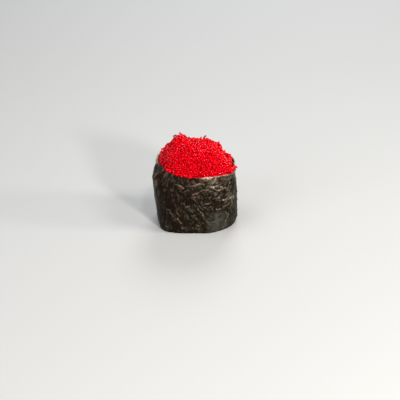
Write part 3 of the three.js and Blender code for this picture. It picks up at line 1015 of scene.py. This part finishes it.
class GUNKAN_OT_roe(bpy.types.Operator):
    """Heaps the roe: a core with bumps, and loose eggs over it"""

    bl_idname = "gunkan.roe"
    bl_label = "Roe"

    def execute(self, context):
        roe = context.scene.gunkan_roe
        self.core(roe)
        places, crest = scatter_eggs(roe)
        rng = np.random.default_rng(EGG_LOOK_SEED)
        tones = rng.random(len(places)) ** 0.7
        tones[crest] = SHADED_TONE
        second = rng.random(len(places)) >= 0.5
        for name, chosen in (("roe_eggs_a", ~second), ("roe_eggs_b", second)):
            count = np.count_nonzero(chosen)
            sizes = roe.egg / MM * rng.normal(1, 0.035, (count, 1)) * rng.uniform(0.95, 1.05, (count, 3))
            turns = turned(rng.uniform(0, TURN, (count, 3)))
            egg = mesh_from("egg", bmesh.ops.create_uvsphere, u_segments=8, v_segments=5, radius=0.5)
            mesh, points = copies(name, egg, places[chosen], turns, sizes)
            marked(mesh, "shade", np.repeat(tones[chosen], len(points) // count))
            finished(name, mesh, egg_material(name, roe), "roe_heap", points)
        return {"FINISHED"}

    def core(self, roe):
        """The mass of eggs under the loose ones, down to the rice."""
        mesh = mesh_from("roe_core", bmesh.ops.create_uvsphere, u_segments=220, v_segments=110, radius=1)
        x, y, z = points_of(mesh).T
        from_top, angle = np.arccos(np.clip(z, -1, 1)), np.arctan2(y, x)
        down = np.clip(from_top, NEAR_TOP, TURN / 4 - NEAR_TOP)
        heap = heap_point(down, angle)
        bumps = np.array([1 - noise.voronoi(Vector(point))[0][0] * 1.6 for point in heap])
        upper = heap + heap_normal(down, angle) * (CORE_BUMP * bumps - CORE_DEPTH)[:, None]
        # The lower half is a side that goes down to the rice, and then a flat underside.
        below = np.clip((from_top - TURN / 4) / (TURN / 4), 0, 1)
        side = np.minimum(1, below * 2)
        underside = bpy.context.scene.gunkan_rice.top / MM + CORE_GAP
        level = (rim_height(angle) - CORE_DROP) * (1 - side) + underside * side
        radius = (heap_radius(angle, level) - CORE_INSET) * np.minimum(1, 2.02 * (1 - below))
        points = np.where((from_top < TURN / 4)[:, None], upper, polar(angle, radius, level))
        finished("roe_core", mesh, core_material(roe), "roe_heap", points)


class GUNKAN_OT_juice(bpy.types.Operator):
    """Runs a bead of juice from the roe along the front of the rim"""

    bl_idname = "gunkan.juice"
    bl_label = "Juice"

    def execute(self, context):
        roe = context.scene.gunkan_roe
        mesh = mesh_from("roe_juice", bmesh.ops.create_uvsphere, u_segments=12, v_segments=220, radius=1)
        x, y, z = points_of(mesh).T
        along, about = np.arccos(np.clip(z, -1, 1)) / math.pi, np.arctan2(y, x)
        angle = JUICE_START + JUICE_SWEEP * along
        rim = rim_height(angle)
        drops = 0.7 + 1.4 * swells(along * 26, 0, seed=3.0) + 0.8 * swells(along * 9, 0, seed=9.0)
        thick = roe.bead / MM / 2 * np.clip(drops, 0.1, 1.5) * (0.3 + 0.9 * round_about(293, 10, angle))
        thick = thick * np.minimum(1, 14 * np.minimum(along, 1 - along)) ** 0.5
        thick = np.where(np.hypot(x, y) < 1e-4, 0, thick)
        radius = wall_radius(angle, rim) - JUICE_INSET + thick * np.cos(about)
        points = polar(angle, radius, rim - JUICE_DROP + thick * np.sin(about))
        finished("roe_juice", mesh, juice_material(roe), "roe_heap", points)
        return {"FINISHED"}


# The rice.


class GUNKAN_OT_rice(bpy.types.Operator):
    """Presses the rice: a block with grains set in its underside"""

    bl_idname = "gunkan.rice"
    bl_label = "Rice"

    def execute(self, context):
        rice = context.scene.gunkan_rice
        material = rice_material(rice)
        self.block(rice, material)
        self.grains(rice, material)
        return {"FINISHED"}

    def block(self, rice, material):
        mesh = mesh_from("rice_core", bmesh.ops.create_uvsphere, u_segments=160, v_segments=64, radius=1)
        x, y, z = points_of(mesh).T
        angle, share = np.arctan2(y, x), np.hypot(x, y) ** 0.3
        level = RICE_FOOT + (rice.top / MM - RICE_FOOT) * (0.5 + 0.5 * np.sign(z) * np.abs(z) ** 0.3)
        points = polar(angle, share * (wall_radius(angle, level) - RICE_INSET), level)
        finished("rice_core", mesh, material, "rice_bed", points)

    def grains(self, rice, material):
        """Grains all over the underside, like a sunflower's seeds. The outer ones lie along the band."""
        rng, count = np.random.default_rng(GRAIN_SEED), rice.grains
        angles = np.arange(count) * GRAIN_TURN + rng.normal(0, 0.08, count)
        share = np.sqrt((np.arange(count) + 0.5) / count)
        height = rng.uniform(0.75, 1.25, count)
        places = polar(angles, share * (wall_radius(angles, 0) - GRAIN_INSET), height)
        turns = rng.uniform(-0.16, 0.16, (count, 3))
        turns[:, 2] = rng.uniform(0, math.pi, count)
        outer = share > 0.86
        turns[outer, 2] = angles[outer] + TURN / 4 + rng.normal(0, 0.3, np.count_nonzero(outer))
        size = np.array((rice.grain, rice.girth, rice.girth)) / MM * rng.uniform(0.88, 1.08, (count, 3))
        lying = Matrix.Rotation(TURN / 4, 4, "Y")
        grain = mesh_from(
            "grain", bmesh.ops.create_uvsphere, u_segments=8, v_segments=6, radius=0.5, matrix=lying
        )
        mesh, points = copies("rice_grains", grain, places, turned(turns), size)
        # Each grain is pressed flat at a level of its own, so that no two flats lie in one plane.
        pressed = rng.permutation(count) / count * 0.16
        points[:, 2] = np.maximum(points[:, 2], np.repeat(pressed, len(points) // count))
        finished("rice_grains", mesh, material, "rice_bed", points)


# The stage.


def lay_floor(stage):
    """A wide pale floor, which far off glows as faintly as the world behind it, so that no horizon shows."""
    mesh = mesh_from("floor", bmesh.ops.create_grid, x_segments=1, y_segments=1, size=FLOOR_REACH)
    surface = Surface("floor")
    away = surface.node("VectorMath", {"operation": "LENGTH"}, surface.place).number("Value")
    material = surface.finish(
        Base_Color=surface.blend(surface.speckle(0.2, 1), stage.floor, stage.clouds),
        Roughness=0.75,
        Emission_Color=surface.blend(((away - 0.3) * 0.8).clipped(), (0, 0, 0), stage.glow),
        Emission_Strength=1.0,
    )
    mesh.materials.append(material)
    floor = placed("floor", mesh)


def light_studio(stage):
    """Soft light from all round, and the lamps."""
    world = bpy.data.worlds.new("studio")
    world.use_nodes = True
    background = world.node_tree.nodes["Background"]
    background.inputs["Color"].default_value = (*stage.sky, 1)
    background.inputs["Strength"].default_value = stage.sky_power
    bpy.context.scene.world = world
    for name, size, power, place, aim_height, colour in LAMPS:
        light = bpy.data.lights.new(name, "AREA")
        light.shape, light.size, light.energy, light.color = "DISK", size, power, colour
        lamp = placed(name, light)
        lamp.location = place
        lamp.rotation_euler = (Vector((0, 0, aim_height)) - Vector(place)).to_track_quat("-Z", "Y").to_euler()


def set_camera(stage):
    camera = bpy.data.cameras.new("camera")
    camera.lens = stage.lens
    camera.sensor_width = SENSOR_WIDTH
    away = Vector((0, -math.cos(stage.elevation), math.sin(stage.elevation)))
    up = Vector((0, math.sin(stage.elevation), math.cos(stage.elevation)))
    aim = Vector((stage.aim_right, 0, 0)) + up * stage.aim_up
    seen = placed("camera", camera)
    seen.location = aim + away * stage.distance
    seen.rotation_euler = (TURN / 4 - stage.elevation, 0, 0)
    bpy.context.scene.camera = seen


class GUNKAN_OT_stage(bpy.types.Operator):
    """Sets the floor, the lights and the camera"""

    bl_idname = "gunkan.stage"
    bl_label = "Stage"

    def execute(self, context):
        stage = context.scene.gunkan_stage
        lay_floor(stage)
        light_studio(stage)
        set_camera(stage)
        context.scene.view_settings.view_transform = "Standard"
        return {"FINISHED"}


class VIEW3D_PT_gunkan(bpy.types.Panel):
    """Lists the pieces' settings and their buttons"""

    bl_label = "Gunkan sushi"
    bl_space_type = "VIEW_3D"
    bl_region_type = "UI"
    bl_category = "Sushi"

    def draw(self, context):
        for settings, _, operators in GROUPS:
            group = getattr(context.scene, settings)
            box = self.layout.box()
            for key in group.bl_rna.properties.keys():
                if key not in {"rna_type", "name"}:
                    box.prop(group, key)
            for operator in operators:
                box.operator(operator)


# The settings by their name in the scene, with the operators that use them.
GROUPS = (
    ("gunkan_band", BandSettings, ("gunkan.nori",)),
    ("gunkan_roe", RoeSettings, ("gunkan.roe", "gunkan.juice")),
    ("gunkan_rice", RiceSettings, ("gunkan.rice",)),
    ("gunkan_stage", StageSettings, ("gunkan.stage",)),
)
CLASSES = (GUNKAN_OT_nori, GUNKAN_OT_roe, GUNKAN_OT_juice, GUNKAN_OT_rice, GUNKAN_OT_stage, VIEW3D_PT_gunkan)


def register():
    for name, group, _ in GROUPS:
        bpy.utils.register_class(group)
        setattr(bpy.types.Scene, name, PointerProperty(type=group))
    for made in CLASSES:
        bpy.utils.register_class(made)


def unregister():
    for made in reversed(CLASSES):
        bpy.utils.unregister_class(made)
    for name, group, _ in reversed(GROUPS):
        delattr(bpy.types.Scene, name)
        bpy.utils.unregister_class(group)


def main():
    register()
    bpy.ops.gunkan.nori()
    bpy.ops.gunkan.roe()
    bpy.ops.gunkan.juice()
    bpy.ops.gunkan.rice()
    bpy.ops.gunkan.stage()


if __name__ == "__main__":
    main()
